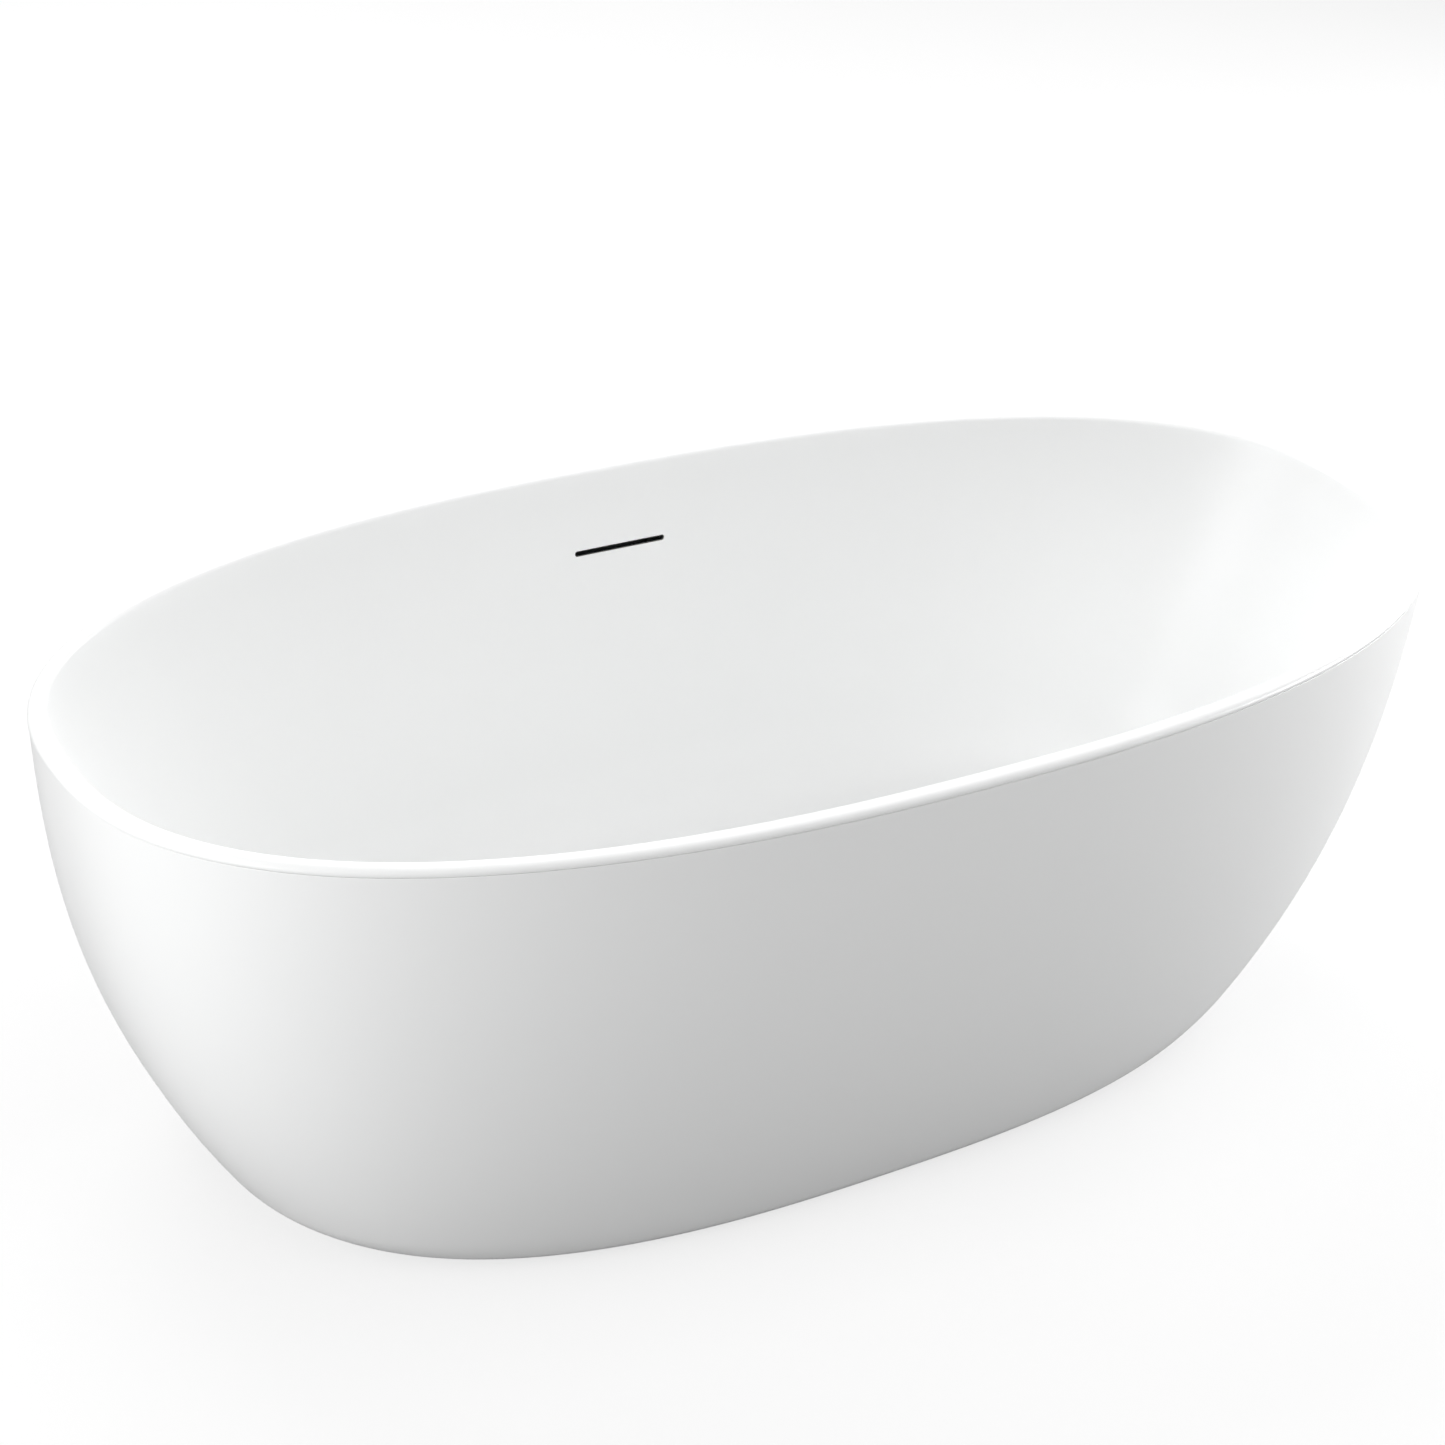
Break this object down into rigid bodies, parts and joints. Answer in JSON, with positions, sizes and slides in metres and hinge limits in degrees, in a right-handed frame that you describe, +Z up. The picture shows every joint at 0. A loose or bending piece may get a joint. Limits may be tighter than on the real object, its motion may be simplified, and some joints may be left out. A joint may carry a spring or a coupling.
{
  "type": "freestanding bathtub",
  "caption": "Oval freestanding bathtub with a double skin, a thin rounded rim, walls that curve in to the base and a slotted overflow in the long side.",
  "frame": {"origin": "on the floor, under the middle of the tub", "axes": "+X along the tub, +Y to the long side with the overflow, +Z up"},
  "size_m": [1.7, 0.8, 0.58],
  "materials": {
    "white_acrylic": "polished white acrylic",
    "bond": "cured adhesive",
    "board": "raw board",
    "frame_steel": "galvanised and sealed",
    "zinc": "bright zinc plate",
    "spring_steel": "drawn wire",
    "chrome": "polished",
    "brass": "turned",
    "rubber": "moulded",
    "foot_plastic": "moulded",
    "grey_plastic": "moulded",
    "hose": "corrugated",
    "slot_trim": "satin black"
  },
  "bodies": {
    "root": {"liner": "white_acrylic", "skirt": "white_acrylic", "rim_bond": "bond", "base_board": "board", "rail_near": "frame_steel", "rail_far": "frame_steel", "cross_bar_left": "frame_steel", "cross_bar_right": "frame_steel", "frame_screw_1": "zinc", "frame_screw_2": "zinc", "frame_screw_3": "zinc", "frame_screw_4": "zinc", "frame_screw_5": "zinc", "frame_screw_6": "zinc", "weld_nut_1": "zinc", "weld_nut_2": "zinc", "weld_nut_3": "zinc", "weld_nut_4": "zinc", "lock_nut_1": "zinc", "lock_nut_2": "zinc", "lock_nut_3": "zinc", "lock_nut_4": "zinc", "skirt_bracket_1": "frame_steel", "skirt_bracket_2": "frame_steel", "skirt_bracket_3": "frame_steel", "skirt_bracket_4": "frame_steel", "skirt_screw_1": "zinc", "skirt_screw_2": "zinc", "skirt_screw_3": "zinc", "skirt_screw_4": "zinc", "waste_flange": "chrome", "waste_flange_gasket": "rubber", "waste_body_gasket": "rubber", "waste_body": "grey_plastic", "slip_nut": "grey_plastic", "tailpiece": "grey_plastic", "plug_cartridge": "brass", "plug_spring": "spring_steel", "overflow_trim": "slot_trim", "overflow_gasket": "rubber", "overflow_box": "grey_plastic", "overflow_hose": "hose", "hose_clamp_upper": "zinc", "hose_clamp_lower": "zinc"},
    "plug": {"plug_cap": "chrome", "plug_seal": "rubber", "plug_stem": "chrome"},
    "foot_1": {"foot_pad_1": "foot_plastic"},
    "stud_1": {"foot_stud_1": "zinc"},
    "foot_2": {"foot_pad_2": "foot_plastic"},
    "stud_2": {"foot_stud_2": "zinc"},
    "foot_3": {"foot_pad_3": "foot_plastic"},
    "stud_3": {"foot_stud_3": "zinc"},
    "foot_4": {"foot_pad_4": "foot_plastic"},
    "stud_4": {"foot_stud_4": "zinc"}
  },
  "joints": [
    {"name": "plug_lift", "type": "slide", "parent": "root", "child": "plug", "axis": [0, 0, 1], "range_m": [0, 0.009]},
    {"name": "foot_1_height", "type": "slide", "parent": "root", "child": "foot_1", "axis": [0, 0, 1], "range_m": [-0.01225, 0.007]},
    {"name": "stud_1_turn", "type": "hinge", "parent": "foot_1", "child": "stud_1", "pos_m": [-0.32904, -0.16818, 0.05], "axis": [0, 0, 1], "range_deg": [-2524, 1443]},
    {"name": "foot_2_height", "type": "slide", "parent": "root", "child": "foot_2", "axis": [0, 0, 1], "range_m": [-0.01225, 0.007]},
    {"name": "stud_2_turn", "type": "hinge", "parent": "foot_2", "child": "stud_2", "pos_m": [-0.32904, 0.16818, 0.05], "axis": [0, 0, 1], "range_deg": [-2524, 1443]},
    {"name": "foot_3_height", "type": "slide", "parent": "root", "child": "foot_3", "axis": [0, 0, 1], "range_m": [-0.01225, 0.007]},
    {"name": "stud_3_turn", "type": "hinge", "parent": "foot_3", "child": "stud_3", "pos_m": [0.32904, -0.16818, 0.05], "axis": [0, 0, 1], "range_deg": [-2524, 1443]},
    {"name": "foot_4_height", "type": "slide", "parent": "root", "child": "foot_4", "axis": [0, 0, 1], "range_m": [-0.01225, 0.007]},
    {"name": "stud_4_turn", "type": "hinge", "parent": "foot_4", "child": "stud_4", "pos_m": [0.32904, 0.16818, 0.05], "axis": [0, 0, 1], "range_deg": [-2524, 1443]}
  ],
  "couplings": [
    {"joint": "stud_1_turn", "follows": "foot_1_height", "rad_per_m": 3590.4},
    {"joint": "stud_2_turn", "follows": "foot_2_height", "rad_per_m": 3590.4},
    {"joint": "stud_3_turn", "follows": "foot_3_height", "rad_per_m": 3590.4},
    {"joint": "stud_4_turn", "follows": "foot_4_height", "rad_per_m": 3590.4}
  ]
}
